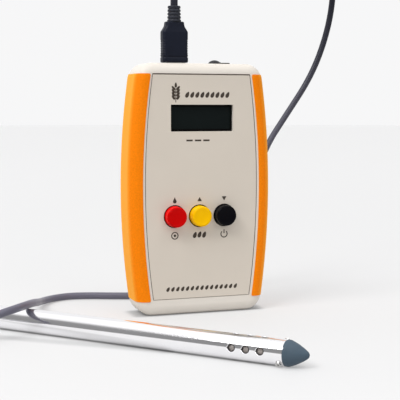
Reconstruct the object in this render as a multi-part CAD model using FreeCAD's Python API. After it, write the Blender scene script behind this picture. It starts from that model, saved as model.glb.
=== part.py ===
import FreeCAD, Part
import os
import math
from FreeCAD import Vector as V

# Hand-held grain moisture meter: an upright case with a lit display, three
# push buttons and a rocker switch, and a slim probe that lies beside it and
# plugs into the top of the case through its own cord.
# Frame: +Z up, the front of the case faces -Y, +X to the right of someone
# who reads the display. The origin is the centre of the flat bottom of the
# case.  All sizes are millimetres.

# ---------------------------------------------------------------- case
H = 147.0            # case height
T = 25.0             # case depth
W_MID = 43.5         # half width at mid height
W_END = 38.95        # half width at the ends of the side grips
Z_E = 8.3            # height of the lower end of the grips and label
RC = 10.0            # corners of the case seen from the front
RF = 6.0             # rounding of all front and rear edges
WALL_S = 3.4         # side wall, under the grips
WALL_E = 2.6         # end walls
WALL_F = 2.4         # front and rear walls
Y_SPLIT = 1.5        # parting plane of the two shells
GRIP_IN = 7.65       # how far a grip reaches over the front and rear
GRIP_POCKET = 1.0    # pocket depth for the grips
GRIP_PROUD = 0.35    # grips stand proud of the shells
GRIP_Z0, GRIP_Z1 = 8.8, 140.7
ZM = H / 2.0
SAG = W_MID - W_END
CH = ZM - Z_E
R_SIDE = (CH * CH + SAG * SAG) / (2 * SAG)
CX_SIDE = W_MID - R_SIDE

# recess for the front label
REC_D = 0.6
LAB_T = 0.4
REC_X = 34.6         # half width at mid height
REC_XE = 30.0        # half width at its ends
REC_Z0, REC_Z1 = 9.6, 140.9

# display
LCD_X, LCD_Z = 0.3, 115.25
LCD_W, LCD_H = 38.4, 15.5

# push buttons
BTN_X0, BTN_Z, BTN_P = -1.4, 58.2, 15.25
BTN_D = 12.2
BTN_HOLE = 13.4
BTN_TOP = -17.7
BTN_TRAVEL = 0.35

# connector and switch on top
USB_X = -12.9
ROCK_X = 14.2
ROCK_AX_Z = 146.4
ROCK_TILT = 12.0     # half of the rocker's swing

# battery bay
DOOR_X = 24.6
DOOR_Z0, DOOR_Z1 = 10.8, 41.6
DOOR_T = 1.4
HINGE_Y, HINGE_Z = 11.8, 11.6

# probe
P_OD = 12.7
P_WALL = 0.9
P_TURN = 48.7        # heading of the probe to the right and towards the front
P_TIP = (3.70, -153.43)
NOSE_L = 11.4
P_LEN = 330.0        # nose tip to rear end of the tube
HOLE_D = 3.9
HOLE_S = (22.9, 30.5, 38.1)   # vent holes, from the tip
SCREW_S = 13.6

# cord
CORD_D = 4.3

os.makedirs("parts", exist_ok=True)
OUT = {}


def box(x0, x1, y0, y1, z0, z1):
    return Part.makeBox(x1 - x0, y1 - y0, z1 - z0, V(x0, y0, z0))


def cyl(p, d, r, h):
    return Part.makeCylinder(r, h, V(*p), V(*d))


def fuse(items):
    s = items[0]
    if len(items) > 1:
        s = s.multiFuse(items[1:])
        s = s.removeSplitter()
    return s


def keep(name, shape):
    solids = shape.Solids
    OUT[name] = solids[0] if len(solids) == 1 else Part.makeCompound(solids)


def rbox(x0, x1, y0, y1, z0, z1, r, axis="y"):
    # box with rounded corners round one axis
    b = box(x0, x1, y0, y1, z0, z1)
    ed = []
    for e in b.Edges:
        a, c = e.Vertexes[0].Point, e.Vertexes[1].Point
        d = c - a
        if axis == "y" and abs(d.y) > 1e-6:
            ed.append(e)
        if axis == "x" and abs(d.x) > 1e-6:
            ed.append(e)
        if axis == "z" and abs(d.z) > 1e-6:
            ed.append(e)
    return b.makeFillet(r, ed)


def outline(off, end_off, rc, y, half_in=None):
    # barrel-sided outline of the case, offset inwards by off at the sides
    rs = R_SIDE - off
    zt = H - end_off
    zb = end_off
    zc = zt - rc
    xc = CX_SIDE + math.sqrt((rs - rc) ** 2 - (zc - ZM) ** 2)
    dx, dz = xc - CX_SIDE, zc - ZM
    n = math.hypot(dx, dz)
    tx, tz = CX_SIDE + dx / n * rs, ZM + dz / n * rs
    ux, uz = dx / n, dz / n
    mx, mz = ux, uz + 1.0
    m = math.hypot(mx, mz)
    cx, cz = xc + mx / m * rc, zc + mz / m * rc
    sx = CX_SIDE + rs
    q = 2 * ZM

    def p(x, z):
        return V(x, y, z)
    e = []
    e.append(Part.LineSegment(p(-xc, zb), p(xc, zb)))
    e.append(Part.Arc(p(xc, zb), p(cx, q - cz), p(tx, q - tz)))
    e.append(Part.Arc(p(tx, q - tz), p(sx, ZM), p(tx, tz)))
    e.append(Part.Arc(p(tx, tz), p(cx, cz), p(xc, zt)))
    e.append(Part.LineSegment(p(xc, zt), p(-xc, zt)))
    e.append(Part.Arc(p(-xc, zt), p(-cx, cz), p(-tx, tz)))
    e.append(Part.Arc(p(-tx, tz), p(-sx, ZM), p(-tx, q - tz)))
    e.append(Part.Arc(p(-tx, q - tz), p(-cx, q - cz), p(-xc, zb)))
    return Part.Wire([g.toShape() for g in e])


def envelope(off, end_off, face_off, rc, rf):
    y0, y1 = -T / 2 + face_off, T / 2 - face_off
    s = Part.Face(outline(off, end_off, rc, y0)).extrude(V(0, y1 - y0, 0))
    ed = [g for g in s.Edges
          if (abs(g.BoundBox.YMin - y0) < 1e-6 and abs(g.BoundBox.YMax - y0) < 1e-6)
          or (abs(g.BoundBox.YMin - y1) < 1e-6 and abs(g.BoundBox.YMax - y1) < 1e-6)]
    return s.makeFillet(rf, ed)


def side_prism(side, off, z0, z1, r, y0=-40, y1=40, out=70.0):
    # everything outside an arc that runs parallel to the side of the case
    rs = R_SIDE - off
    cxs = CX_SIDE

    def xa(z):
        return cxs + math.sqrt(rs * rs - (z - ZM) ** 2)
    pts = [V(xa(z0), y0, z0), V(cxs + rs, y0, ZM), V(xa(z1), y0, z1)]
    e = [Part.Arc(pts[0], pts[1], pts[2]).toShape(),
         Part.LineSegment(pts[2], V(out, y0, z1)).toShape(),
         Part.LineSegment(V(out, y0, z1), V(out, y0, z0)).toShape(),
         Part.LineSegment(V(out, y0, z0), pts[0]).toShape()]
    s = Part.Face(Part.Wire(e)).extrude(V(0, y1 - y0, 0))
    if r > 0:
        ed = []
        for g in s.Edges:
            a = g.Vertexes[0].Point
            b = g.Vertexes[-1].Point
            if abs(a.x - b.x) < 1e-6 and abs(a.z - b.z) < 1e-6 and a.x < out - 1:
                ed.append(g)
        s = s.makeFillet(r, ed)
    if side < 0:
        s = s.mirror(V(0, 0, 0), V(1, 0, 0))
    return s


env = envelope(0, 0, 0, RC, RF)
cavity = envelope(WALL_S, WALL_E, WALL_F, 5.0, 3.0)
env_in = envelope(GRIP_POCKET, GRIP_POCKET, GRIP_POCKET, RC - 1.0, RF - 1.0)
env_out = envelope(-GRIP_PROUD, -GRIP_PROUD, -GRIP_PROUD, RC + 0.35, RF + 0.35)

shell = env.cut(cavity)
ring = env.cut(env_in)
for sd in (-1, 1):
    shell = shell.cut(ring.common(side_prism(sd, GRIP_IN, GRIP_Z0, GRIP_Z1, 0.9)))
skin = env_out.cut(env_in)
keep("grip_left", skin.common(side_prism(-1, GRIP_IN, GRIP_Z0, GRIP_Z1, 0.9)))
keep("grip_right", skin.common(side_prism(1, GRIP_IN, GRIP_Z0, GRIP_Z1, 0.9)))


def label_face(x_mid, x_end, z0, z1, y0, y1, r):
    sag = x_mid - x_end
    ch = (z1 - z0) / 2
    a = V(x_end, y0, z0)
    b = V(x_mid, y0, (z0 + z1) / 2)
    c = V(x_end, y0, z1)
    a2, b2, c2 = V(-x_end, y0, z0), V(-x_mid, y0, (z0 + z1) / 2), V(-x_end, y0, z1)
    e = [Part.Arc(a, b, c).toShape(), Part.LineSegment(c, c2).toShape(),
         Part.Arc(c2, b2, a2).toShape(), Part.LineSegment(a2, a).toShape()]
    s = Part.Face(Part.Wire(e)).extrude(V(0, y1 - y0, 0))
    ed = []
    for g in s.Edges:
        p, q = g.Vertexes[0].Point, g.Vertexes[-1].Point
        if abs(p.x - q.x) < 1e-6 and abs(p.z - q.z) < 1e-6:
            ed.append(g)
    return s.makeFillet(r, ed)


YF = -T / 2
recess = label_face(REC_X, REC_XE, REC_Z0, REC_Z1, YF - 2, YF + REC_D, 0.7)
label = label_face(REC_X - 0.12, REC_XE - 0.12, REC_Z0 + 0.12, REC_Z1 - 0.12,
                   YF + REC_D - LAB_T, YF + REC_D, 0.6)
shell = shell.cut(recess)
lcd_hole = rbox(LCD_X - LCD_W / 2, LCD_X + LCD_W / 2, YF - 3, YF + 4,
                LCD_Z - LCD_H / 2, LCD_Z + LCD_H / 2, 0.5)
shell = shell.cut(lcd_hole)
label = label.cut(lcd_hole)
BX = [BTN_X0 - BTN_P, BTN_X0, BTN_X0 + BTN_P]
for x in BX:
    hole = cyl((x, YF - 3, BTN_Z), (0, 1, 0), BTN_HOLE / 2, 7)
    shell = shell.cut(hole)
    label = label.cut(hole)
keep("front_label", label)

# openings in the top wall for the socket and the rocker switch
usb_hole = rbox(USB_X - 7.0, USB_X + 7.0, -3.4, 3.4, H - 5, H + 2, 0.6, "z")
rock_hole = box(ROCK_X - 4.5, ROCK_X + 4.5, -6.9, 6.9, H - 5, H + 2)
shell = shell.cut(usb_hole).cut(rock_hole)

# battery bay opening and the step that carries its door
bay = rbox(-23.6, 23.6, 8, 14, DOOR_Z0 - 0.5, 40.4, 1.0)
step = rbox(-DOOR_X - 0.25, DOOR_X + 0.25, T / 2 - DOOR_T - 0.1, 14, DOOR_Z0 - 0.5, DOOR_Z1 + 0.25, 1.5)
notch = box(-5.0, 5.0, 8, 14, 38, DOOR_Z1 + 0.25)
relief_low = box(-DOOR_X - 0.25, DOOR_X + 0.25, 8, 14, DOOR_Z0 - 0.5, 13.4)
shell = shell.cut(bay).cut(step).cut(notch).cut(relief_low)

front = shell.common(box(-60, 60, -30, Y_SPLIT, -10, 160))
rear = shell.common(box(-60, 60, Y_SPLIT, 30, -10, 160))

# screw pillars: a blind bore in the front half, a counterbored one behind
SCR = [(-28.5, 11.6), (28.5, 11.6), (-28.5, 136.4), (28.5, 136.4)]
fp, rp = [front], [rear]
for x, z in SCR:
    fp.append(cyl((x, YF + 1.5, z), (0, 1, 0), 3.3, Y_SPLIT - YF - 1.5))
    rp.append(cyl((x, Y_SPLIT, z), (0, 1, 0), 3.6, T / 2 - 1.5 - Y_SPLIT))
BRD = [(-24.5, 48.0), (24.5, 48.0), (-24.5, 95.0), (24.5, 95.0)]
for x, z in BRD:
    fp.append(cyl((x, YF + 1.5, z), (0, 1, 0), 2.4, -2.8 - YF - 1.5))
front = fuse(fp)
rear = fuse(rp)
# wall between the battery bay and the electronics
rear = fuse([rear, box(-30.0, 30.0, Y_SPLIT, 10.6, 41.9, 43.1)])
rear = fuse([rear, box(-27.2, -26.0, Y_SPLIT, 10.6, 17.0, 42.0)])
for x, z in SCR:
    front = front.cut(cyl((x, -8.0, z), (0, 1, 0), 1.25, 20))
    rear = rear.cut(cyl((x, -8.0, z), (0, 1, 0), 1.6, 30))
    rear = rear.cut(cyl((x, T / 2 - 2.6, z), (0, 1, 0), 2.95, 10))
for x, z in BRD:
    front = front.cut(cyl((x, -9.0, z), (0, 1, 0), 0.95, 10))
keep("front_shell", front)
keep("rear_shell", rear)

# fasteners
scr = []
for x, z in SCR:
    head = cyl((x, T / 2 - 2.55, z), (0, 1, 0), 2.75, 1.7)
    head = head.makeFillet(0.6, [e for e in head.Edges if abs(e.BoundBox.YMin - (T / 2 - 0.85)) < 1e-6 and abs(e.BoundBox.YMax - (T / 2 - 0.85)) < 1e-6])
    head = head.cut(box(x - 1.6, x + 1.6, T / 2 - 1.7, T / 2, z - 0.3, z + 0.3))
    head = head.cut(box(x - 0.3, x + 0.3, T / 2 - 1.7, T / 2, z - 1.6, z + 1.6))
    scr.append(head.fuse(cyl((x, -5.0, z), (0, 1, 0), 1.25, T / 2 - 2.55 + 5.0)))
keep("case_screws", Part.makeCompound(scr))
bs = []
for x, z in BRD:
    head = cyl((x, -1.2, z), (0, 1, 0), 2.0, 1.3)
    head = head.cut(box(x - 1.2, x + 1.2, -0.5, 1, z - 0.25, z + 0.25)).cut(box(x - 0.25, x + 0.25, -0.5, 1, z - 1.2, z + 1.2))
    bs.append(head.fuse(cyl((x, -8.0, z), (0, 1, 0), 0.95, 6.8)))
keep("board_screws", Part.makeCompound(bs))

# ------------------------------------------------------------- display
bez = rbox(LCD_X - 22, LCD_X + 22, -10.0, -6.4, LCD_Z - 11.5, LCD_Z + 11.5, 0.8)
bez = bez.cut(box(LCD_X - 19.6, LCD_X + 19.6, -11, -7.4, LCD_Z - 8.2, LCD_Z + 8.2))
keep("lcd_bezel", bez)
keep("lcd_glass", rbox(LCD_X - 19.5, LCD_X + 19.5, -9.9, -7.4, LCD_Z - 8.1, LCD_Z + 8.1, 0.4))
lb = box(LCD_X - 28, LCD_X + 28, -6.4, -4.8, 100.2, 130.2)
for x in (LCD_X - 25.5, LCD_X + 25.5):
    for z in (102.7, 127.7):
        lb = lb.cut(cyl((x, -7, z), (0, 1, 0), 1.3, 3))
keep("lcd_board", lb)
hd = [box(-18, 20.1, -4.8, -2.8, 101.0, 103.5)]
for i in range(14):
    x = -16.6 + i * 2.54
    hd.append(box(x - 0.32, x + 0.32, -1.2, -0.2, 101.9, 102.55))
keep("lcd_header", Part.makeCompound(hd))

# ------------------------------------------------------------- boards
mb = rbox(-27.5, 27.5, -2.8, -1.2, 44.5, 132.2, 1.0)
mb = mb.cut(box(USB_X - 7.6, USB_X + 7.6, -4, 0, 129.8, 140))
for x, z in BRD:
    mb = mb.cut(cyl((x, -4, z), (0, 1, 0), 1.15, 5))
keep("main_board", mb)
sw = []
for x in BX:
    b = rbox(x - 6.0, x + 6.0, -6.6, -2.8, BTN_Z - 6.0, BTN_Z + 6.0, 0.7)
    b = b.cut(cyl((x, -6.7, BTN_Z), (0, 1, 0), 3.58, 2.5))
    sw.append(b)
keep("switch_bodies", Part.makeCompound(sw))

keep("mcu_chip", box(-8, 2, -1.2, 0.3, 70, 80))
reg = [box(10, 20, -1.2, 3.2, 74, 83), box(10, 20, -1.2, 0.1, 83, 89)]
keep("voltage_regulator", fuse(reg))
cp = []
for x, z, r0, h0 in ((14.0, 62.0, 3.2, 7.4), (-17.0, 62.0, 3.2, 7.4), (-18.0, 84.0, 2.5, 5.4)):
    c0 = cyl((x, -1.2, z), (0, 1, 0), r0, h0)
    c0 = c0.makeFillet(0.5, [e for e in c0.Edges if abs(e.BoundBox.YMin - (h0 - 1.2)) < 1e-6])
    cp.append(c0)
keep("capacitors", Part.makeCompound(cp))
keep("crystal", rbox(-7.5, 3.0, -1.2, 2.2, 86.0, 90.6, 2.2))

# ------------------------------------------------------------- buttons
for nm, x in zip(("red", "yellow", "black"), BX):
    st = cyl((x, -8.6, BTN_Z), (0, 1, 0), 3.5, 3.8)
    st = st.fuse(box(x - 1.9, x + 1.9, -11.4, -8.6, BTN_Z - 1.9, BTN_Z + 1.9))
    keep(nm + "_switch_stem", st)
    c1 = cyl((x, BTN_TOP, BTN_Z), (0, 1, 0), BTN_D / 2, -8.6 - BTN_TOP)
    top = [e for e in c1.Edges if abs(e.BoundBox.YMin - BTN_TOP) < 1e-6 and abs(e.BoundBox.YMax - BTN_TOP) < 1e-6]
    c1 = c1.makeFillet(1.0, top)
    c1 = c1.fuse(cyl((x, -9.6, BTN_Z), (0, 1, 0), 6.45, 1.0))
    c1 = c1.cut(box(x - 1.9, x + 1.9, -11.4, -8.0, BTN_Z - 1.9, BTN_Z + 1.9))
    keep(nm + "_button", c1)

# ------------------------------------------------- socket on the top
us = rbox(USB_X - 6.7, USB_X + 6.7, -3.05, 3.05, 130.2, H - 0.4, 0.5, "z")
us = us.cut(box(USB_X - 6.3, USB_X + 6.3, -2.65, 2.65, 131.0, H + 1))
keep("usb_socket_shell", us)
keep("usb_socket_tongue", box(USB_X - 5.5, USB_X + 5.5, 0.15, 1.85, 131.0, 143.0))

# plug on the cord
ps = rbox(USB_X - 6.0, USB_X + 6.0, -2.25, 2.25, 135.6, H + 0.5, 0.4, "z")
ps = ps.cut(box(USB_X - 5.7, USB_X + 5.7, -1.95, 1.95, 135.0, H + 0.5))
keep("plug_shell", ps)
keep("plug_tongue", box(USB_X - 5.65, USB_X + 5.65, -1.9, 0.0, 136.0, H + 0.5))
OV0, OV1 = H + 0.5, 171.2
ov = rbox(USB_X - 7.9, USB_X + 7.9, -3.95, 3.95, OV0, 166.5, 2.2, "z")
sh = Part.makeLoft([Part.Wire(rbox(USB_X - 7.9, USB_X + 7.9, -3.95, 3.95, 166.5, 170, 2.2, "z").Faces[k].OuterWire.Edges)
                    for k in range(0)] or
                   [Part.Wire(Part.__sortEdges__([e for e in rbox(USB_X - 7.9, USB_X + 7.9, -3.95, 3.95, 166.5, 170, 2.2, "z").Edges
                                                  if e.BoundBox.ZMax < 166.51])),
                    Part.Wire(Part.__sortEdges__([e for e in rbox(USB_X - 5.4, USB_X + 5.4, -3.6, 3.6, OV1, 175, 2.0, "z").Edges
                                                  if e.BoundBox.ZMax < OV1 + 0.01]))], True, True)
ov = ov.fuse(sh)
keep("plug_overmold", ov)
sr = Part.makeCone(3.6, 2.9, 9.1, V(USB_X, 0, OV1), V(0, 0, 1))
for z in (173.6, 175.8, 178.0):
    ringc = Part.makeTorus(3.75, 0.45, V(USB_X, 0, z), V(0, 0, 1))
    sr = sr.cut(ringc)
keep("plug_strain_relief", sr)
PLUG_END = (USB_X, 0.0, OV1 + 9.1)

# ------------------------------------------------- rocker switch
fr = rbox(ROCK_X - 5.0, ROCK_X + 5.0, -7.4, 7.4, H, H + 0.5, 0.8, "z")
fr = fr.fuse(box(ROCK_X - 4.4, ROCK_X + 4.4, -6.85, 6.85, 137.5, H))
fr = fr.cut(box(ROCK_X - 3.9, ROCK_X + 3.9, -6.5, 6.5, 139.0, H + 2))
fr = fr.cut(cyl((ROCK_X - 4.3, 0, ROCK_AX_Z), (1, 0, 0), 0.85, 8.6))
keep("rocker_frame", fr)


def rocker_profile(tilt):
    # side view of the paddle, a shallow V on top, turned about its pin
    pts = [(-6.0, 1.95), (0.0, 0.7), (6.0, 1.95), (6.05, -0.9), (3.2, -4.4), (-3.2, -4.4), (-6.05, -0.9)]
    a = math.radians(tilt)
    out = []
    for y, z in pts:
        out.append((y * math.cos(a) - z * math.sin(a), y * math.sin(a) + z * math.cos(a)))
    return out


PIN_Z = ROCK_AX_Z
pp = rocker_profile(ROCK_TILT)
w = Part.makePolygon([V(ROCK_X - 3.75, y, PIN_Z + z) for y, z in pp] + [V(ROCK_X - 3.75, pp[0][0], PIN_Z + pp[0][1])])
pad = Part.Face(w).extrude(V(7.5, 0, 0))
pad = pad.fuse(cyl((ROCK_X - 4.2, 0, PIN_Z), (1, 0, 0), 0.8, 8.4))
keep("rocker_paddle", pad)
tm = []
for y in (-4.6, 0.0, 4.6):
    tm.append(box(ROCK_X - 1.2, ROCK_X + 1.2, y - 0.3, y + 0.3, 134.0, 137.5))
keep("rocker_terminals", Part.makeCompound(tm))

# ------------------------------------------------- battery and its bay
bt = rbox(-24.6, 20.2, -8.0, 9.4, 13.6, 39.9, 1.6, "x")
t1 = cyl((20.2, 0.7 - 4.4, 20.4), (1, 0, 0), 2.9, 2.6)
t2 = cyl((20.2, 0.7 - 4.4, 33.1), (1, 0, 0), 3.9, 2.6)
keep("battery", fuse([bt, t1, t2]))
keep("battery_snap", rbox(22.8, 25.6, -7.2, 4.6, 16.2, 38.4, 1.2, "x"))
keep("battery_pad", rbox(-20, 15, -10.1, -8.0, 17.5, 36.0, 1.5))

door = rbox(-DOOR_X, DOOR_X, T / 2 - DOOR_T, T / 2, DOOR_Z0, DOOR_Z1, 1.4)
# the lower edge is a round hinge barrel on the hinge axis
door = door.cut(box(-40, 40, 8, 14, DOOR_Z0 - 1, HINGE_Z))
door = door.fuse(cyl((-DOOR_X + 1.0, HINGE_Y, HINGE_Z), (1, 0, 0), DOOR_T / 2, 2 * DOOR_X - 2.0))
for i in range(5):
    zz = 34.0 + i * 1.5
    door = door.cut(rbox(-7.5, 7.5, T / 2 - 0.45, T / 2 + 1, zz - 0.35, zz + 0.35, 0.3))
for x in (-16.0, 16.0):
    door = door.fuse(box(x - 2.5, x + 2.5, 9.0, T / 2 - DOOR_T, DOOR_Z0 + 0.1, DOOR_Z0 + 1.3))
    door = door.fuse(box(x - 2.5, x + 2.5, 9.0, 9.9, DOOR_Z0 - 1.5, DOOR_Z0 + 0.4))
door = door.fuse(box(-4.0, 4.0, 9.9, T / 2 - DOOR_T, 40.3, DOOR_Z1))
keep("battery_door", door.removeSplitter())


# ------------------------------------------------- round leads and cords
def tube(points, dia, name, clamp=None):
    pts = [V(*p) for p in points]
    edges = []
    cur = pts[0]
    length = 0.0
    radii = []
    for i in range(1, len(pts) - 1):
        a, b = pts[i] - pts[i - 1], pts[i + 1] - pts[i]
        turn = a.getAngle(b)
        r = 0.45 * min(a.Length, b.Length) / math.tan(turn / 2)
        radii.append(round(r, 1))
        t = r * math.tan(turn / 2)
        da = V(a).normalize()
        db = V(b).normalize()
        p1 = pts[i] - da * t
        p2 = pts[i] + db * t
        bis = (db - da).normalize()
        cen = pts[i] + bis * (r / math.cos(turn / 2))
        mid = cen - bis * r
        if (p1 - cur).Length > 1e-4:
            edges.append(Part.LineSegment(cur, p1).toShape())
            length += (p1 - cur).Length
        arc = Part.Arc(p1, mid, p2).toShape()
        edges.append(arc)
        length += arc.Length
        cur = p2
    edges.append(Part.LineSegment(cur, pts[-1]).toShape())
    length += (pts[-1] - cur).Length
    wire = Part.Wire(edges)
    d0 = (pts[1] - pts[0]).normalize()
    prof = Part.Wire([Part.makeCircle(dia / 2, pts[0], d0)])
    s = wire.makePipeShell([prof], True, False)
    vol = math.pi * dia * dia / 4 * length
    print(name, "length", round(length, 1), "volume", round(s.Volume, 1), "expected", round(vol, 1),
          "valid", s.isValid(), "radii", radii)
    return s


keep("battery_lead_red", tube([(23.7, 4.6, 33.0), (23.7, 7.6, 33.0), (27.6, 8.4, 35.6), (32.6, 7.9, 39.6), (33.3, 6.6, 46.0),
                               (29.0, 5.6, 50.4), (22.0, 3.9, 53.4), (20.0, 1.9, 53.6), (20.0, -1.2, 53.6)], 1.3, "battery_lead_red"))
keep("battery_lead_black", tube([(23.7, 4.6, 20.5), (23.7, 7.8, 20.5), (26.3, 8.6, 24.0), (30.0, 6.2, 30.0), (31.1, 4.6, 37.0), (31.3, 4.4, 44.5),
                                 (28.4, 3.6, 49.0), (25.2, 1.9, 50.6), (25.2, -1.2, 50.6)], 1.3, "battery_lead_black"))
keep("switch_lead", tube([(ROCK_X, 4.6, 134.0), (ROCK_X, 4.6, 130.0), (17.0, 5.6, 124.0), (20.4, 5.0, 117.0),
                          (20.6, 3.4, 111.5), (19.2, 1.9, 108.6), (19.2, -1.2, 108.6)], 1.2, "switch_lead"))

# ------------------------------------------------- probe, built along its
# own axis: local x runs from the rear (negative) to the tip at 0
PR = P_OD / 2
probe = {}
curve = Part.BSplineCurve()
curve.interpolate([V(-9.9, PR, 0), V(-8.4, 5.8, 0), V(-6.2, 4.88, 0), V(-3.6, 3.5, 0), V(-1.5, 2.2, 0), V(-0.35, 1.15, 0), V(0, 0, 0)])
e = [Part.LineSegment(V(-NOSE_L, 0, 0), V(-NOSE_L, PR, 0)).toShape(),
     Part.LineSegment(V(-NOSE_L, PR, 0), V(-9.9, PR, 0)).toShape(),
     curve.toShape(),
     Part.LineSegment(V(0, 0, 0), V(-NOSE_L, 0, 0)).toShape()]
nose = Part.Face(Part.Wire(e)).revolve(V(0, 0, 0), V(1, 0, 0), 360)
if nose.Volume < 0:
    nose.reverse()
plug_r = PR - P_WALL
nose = nose.fuse(cyl((-NOSE_L - 7.5, 0, 0), (1, 0, 0), plug_r, 7.5))
groove = cyl((-NOSE_L - 6.35, 0, 0), (1, 0, 0), plug_r + 1, 1.5).cut(cyl((-NOSE_L - 6.35, 0, 0), (1, 0, 0), plug_r - 0.85, 1.5))
nose = nose.cut(groove)
oring = cyl((-NOSE_L - 6.25, 0, 0), (1, 0, 0), plug_r, 1.3).cut(cyl((-NOSE_L - 6.25, 0, 0), (1, 0, 0), plug_r - 0.85, 1.3))
tubeb = cyl((-P_LEN, 0, 0), (1, 0, 0), PR, P_LEN - NOSE_L).cut(cyl((-P_LEN - 1, 0, 0), (1, 0, 0), plug_r, P_LEN))
HROW = -6.5


def radial(s, ang, r, r0, h):
    a = math.radians(ang)
    return cyl((-s, math.cos(a) * r0, math.sin(a) * r0), (0, math.cos(a), math.sin(a)), r, h)


# local +y is the side that faces front-left once the probe is placed
for s in HOLE_S:
    for k in range(4):
        ang = HROW + 90 * k
        tubeb = tubeb.cut(radial(s, ang, HOLE_D / 2, 0.5, 10))
        a = math.radians(ang)
        d = V(0, math.cos(a), math.sin(a))
        cone = Part.makeCone(HOLE_D / 2, HOLE_D / 2 + 0.55, 0.55, V(-s, 0, 0) + d * (PR - 0.35), d)
        tubeb = tubeb.cut(cone)
SANG = (42.0, -138.0)
for ang in SANG:
    tubeb = tubeb.cut(radial(SCREW_S, ang, 0.85, 0.5, 10))
    nose = nose.cut(radial(SCREW_S, ang, 0.7, 1.2, 10))
tubeb = tubeb.cut(radial(P_LEN - 6, -90, 0.85, 0.5, 10))
ns = []
for ang in SANG:
    hd0 = radial(SCREW_S, ang, 1.55, PR - 0.15, 1.1)
    a = math.radians(ang)
    d = V(0, math.cos(a), math.sin(a))
    hd0 = hd0.cut(Part.makeCylinder(0.55, 1, V(-SCREW_S, 0, 0) + d * (PR + 0.45), d))
    ns.append(hd0.fuse(radial(SCREW_S, ang, 0.7, 2.2, PR - 0.15 - 2.2)))
nose_screws = Part.makeCompound(ns)
tubeb = tubeb.cut(radial(SCREW_S, SANG[0], 1.56, PR - 0.15, 2)).cut(radial(SCREW_S, SANG[1], 1.56, PR - 0.15, 2))
sleeve = cyl((-46.0, 0, 0), (1, 0, 0), plug_r - 0.05, 26.5).cut(cyl((-47, 0, 0), (1, 0, 0), plug_r - 0.65, 30))
sboard = box(-70, -25.5, -3.8, 3.8, -0.6, 0.6)
schip = box(-37.5, -32.5, -2.5, 2.5, 0.6, 1.9)
cap_in = cyl((-P_LEN, 0, 0), (1, 0, 0), plug_r, 13)
cap_out = cyl((-P_LEN - 12, 0, 0), (1, 0, 0), PR, 12)
cap_out = cap_out.makeFillet(1.6, [g for g in cap_out.Edges if g.BoundBox.XMax < -P_LEN - 11.9])
cap = cap_in.fuse(cap_out).cut(cyl((-P_LEN - 13, 0, 0), (1, 0, 0), 2.0, 40)).cut(radial(P_LEN - 6, -90, 0.7, 2.4, 10))
csc = radial(P_LEN - 6, -90, 1.55, PR - 0.15, 1.1)
csc = csc.cut(Part.makeCylinder(0.55, 1, V(-(P_LEN - 6), 0, -PR - 0.45), V(0, 0, -1)))
csc = csc.fuse(radial(P_LEN - 6, -90, 0.7, 2.6, PR - 0.15 - 2.6))
tubeb = tubeb.cut(radial(P_LEN - 6, -90, 1.56, PR - 0.15, 2))
SRL = 20.0
relief = Part.makeCone(2.9, 4.4, SRL, V(-P_LEN - 12 - SRL, 0, 0), V(1, 0, 0))
for k in range(5):
    xx = -P_LEN - 12 - SRL + 3.0 + 3.4 * k
    rr = 2.9 + (3.0 + 3.4 * k) / SRL * 1.5
    relief = relief.cut(Part.makeTorus(rr + 0.1, 0.5, V(xx, 0, 0), V(1, 0, 0)))
inner = cyl((-P_LEN - 11.9, 0, 0), (1, 0, 0), 1.9, P_LEN + 11.9 - 70.2)
for nm, s in (("probe_nose", nose), ("probe_tube", tubeb), ("nose_screws", nose_screws), ("nose_oring", oring),
              ("filter_sleeve", sleeve), ("sensor_board", sboard), ("sensor_chip", schip), ("probe_end_cap", cap),
              ("end_cap_screw", csc), ("probe_strain_relief", relief), ("probe_inner_cable", inner)):
    # local +y must point to the front-left, so mirror is avoided by a half
    # turn round the probe's own axis before it is swung into place
    m = FreeCAD.Placement(V(P_TIP[0], P_TIP[1], PR), FreeCAD.Rotation(V(0, 0, 1), -P_TURN)) \
        .multiply(FreeCAD.Placement(V(0, 0, 0), FreeCAD.Rotation(V(1, 0, 0), 180)))
    t = s.copy()
    t.Placement = m.multiply(t.Placement)
    keep(nm, t)

CT, ST = math.cos(math.radians(P_TURN)), math.sin(math.radians(P_TURN))


def on_axis(s):
    return (P_TIP[0] - CT * s, P_TIP[1] + ST * s)


S_END = P_LEN + 12 + SRL
e0 = on_axis(S_END)
e1 = on_axis(S_END + 16.0)
ROUTE = [
    (e0[0], e0[1], PR), (e1[0], e1[1], PR),
    (-263.0, 141.5, 3.4), (-286.0, 143.0, 2.25), (-304.0, 129.0, 2.25), (-309.0, 105.0, 2.25),
    (-299.0, 80.0, 2.25), (-281.0, 58.0, 2.25), (-258.0, 34.0, 2.25), (-233.0, 9.0, 2.25),
    (-207.0, -12.0, 2.25), (-181.0, -31.0, 2.25), (-158.0, -44.0, 3.4), (-140.0, -49.5, 9.0),
    (-126.0, -49.0, 15.6), (-113.5, -42.5, 19.2), (-103.0, -29.0, 19.5), (-97.0, -12.5, 17.0),
    (-92.5, 6.0, 11.6), (-89.5, 23.0, 6.2), (-84.5, 39.0, 3.2), (-76.5, 51.0, 2.3),
    (-64.5, 57.5, 2.25), (-51.0, 56.0, 2.25), (-38.0, 50.5, 2.25), (-24.0, 45.5, 2.25), (-8.0, 42.0, 2.25),
    (12.0, 43.0, 2.25), (34.0, 52.0, 5.5), (52.0, 66.0, 25.0), (66.5, 79.0, 58.0), (81.5, 90.0, 92.0),
    (102.5, 97.0, 117.5), (119.5, 98.0, 141.0), (130.0, 97.0, 165.0), (136.0, 95.0, 192.0),
    (134.5, 90.0, 221.0), (116.0, 77.0, 247.0), (85.0, 57.0, 260.0), (50.0, 36.0, 260.0),
    (18.0, 16.0, 248.0), (-6.0, 3.0, 229.0), (USB_X, 0.0, 204.8), PLUG_END]
keep("cord", tube(ROUTE, CORD_D, "cord"))

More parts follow.
